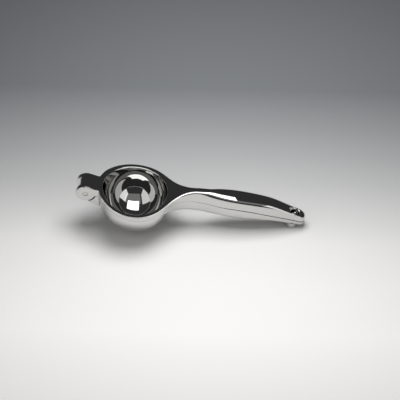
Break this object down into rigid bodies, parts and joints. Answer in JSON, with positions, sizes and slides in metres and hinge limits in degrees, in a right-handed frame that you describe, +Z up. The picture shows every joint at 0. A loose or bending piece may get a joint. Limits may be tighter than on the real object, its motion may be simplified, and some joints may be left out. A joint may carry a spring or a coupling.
{
  "type": "hinged lemon squeezer",
  "caption": "Closed hinged lemon squeezer in chrome: an upper arm with a pressing bowl over a strainer cup, joined by a hinge pin, with long handles and a round foot.",
  "frame": {"origin": "centre of the flat under the strainer cup, on the surface it stands on", "axes": "+Z up, +X from the hinge end to the tip of the handles, +Y away from the viewer of the picture"},
  "size_m": [0.2174, 0.07, 0.0538],
  "materials": {
    "chrome_upper": "polished chrome plate",
    "chrome_lower": "polished chrome plate",
    "pin_steel": "brushed"
  },
  "bodies": {
    "lower": {"lower_arm": "chrome_lower"},
    "upper": {"upper_arm": "chrome_upper", "hinge_pin": "pin_steel"}
  },
  "joints": [
    {"name": "hinge", "type": "hinge", "parent": "lower", "child": "upper", "pos_m": [-0.0463, 0, 0.0447], "axis": [0, -1, 0], "range_deg": [0, 130]}
  ]
}
